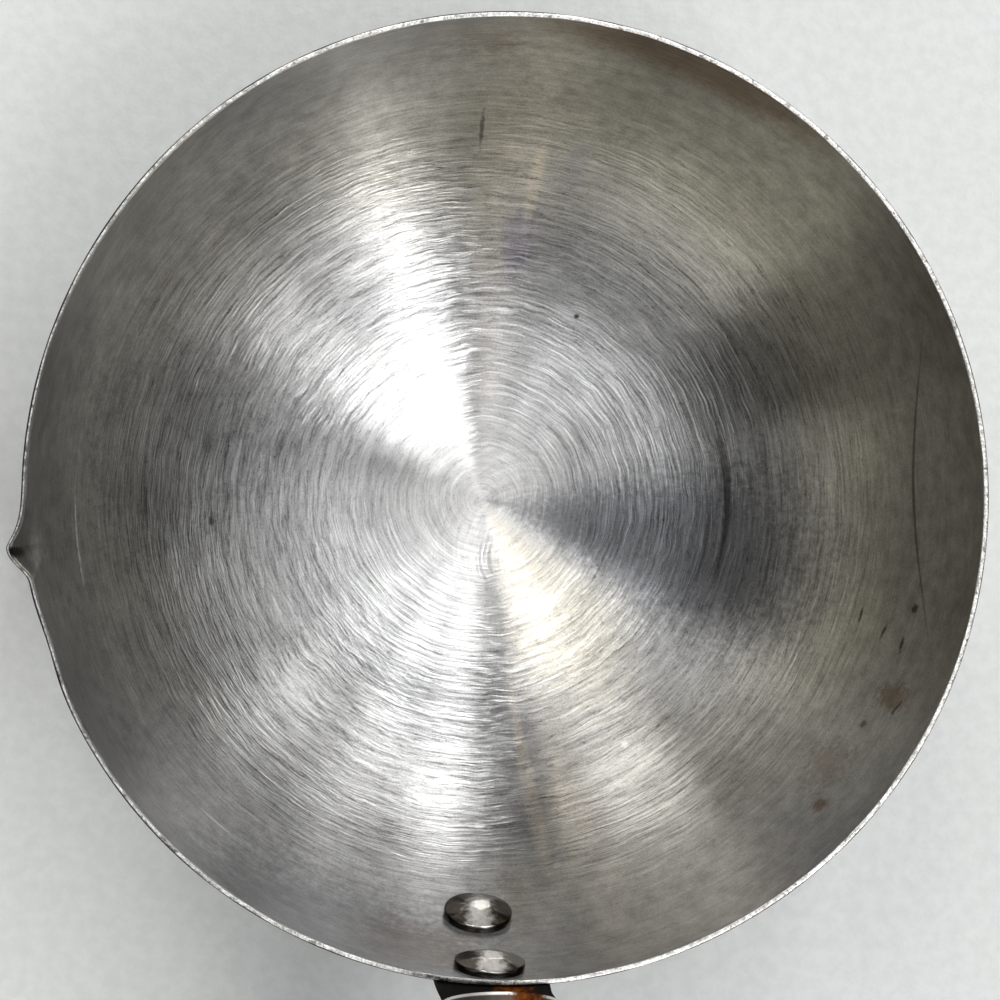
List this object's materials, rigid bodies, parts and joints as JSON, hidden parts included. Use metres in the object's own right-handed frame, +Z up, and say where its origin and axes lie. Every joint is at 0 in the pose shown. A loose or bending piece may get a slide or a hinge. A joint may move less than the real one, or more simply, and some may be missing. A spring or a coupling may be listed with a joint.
{
  "type": "pouring ladle",
  "caption": "Round flat-based steel pouring ladle with a pinched lip, a riveted tubular socket that rises from the rim, and a turned wooden grip.",
  "frame": {"origin": "centre of the flat that the bowl stands on", "axes": "+Z up along the bowl's axis, the handle leaves towards -Y and rises, the pouring lip is close to -X"},
  "size_m": [0.1368, 0.2768, 0.1166],
  "materials": {
    "spun_steel": "satin",
    "socket_steel": "satin",
    "rivet_steel": "polished",
    "grip_wood": "satin"
  },
  "bodies": {
    "root": {"bowl": "spun_steel", "handle_socket": "socket_steel", "upper_rivet": "rivet_steel", "lower_rivet": "rivet_steel", "wooden_grip": "grip_wood", "grip_pin": "rivet_steel"}
  },
  "joints": []
}
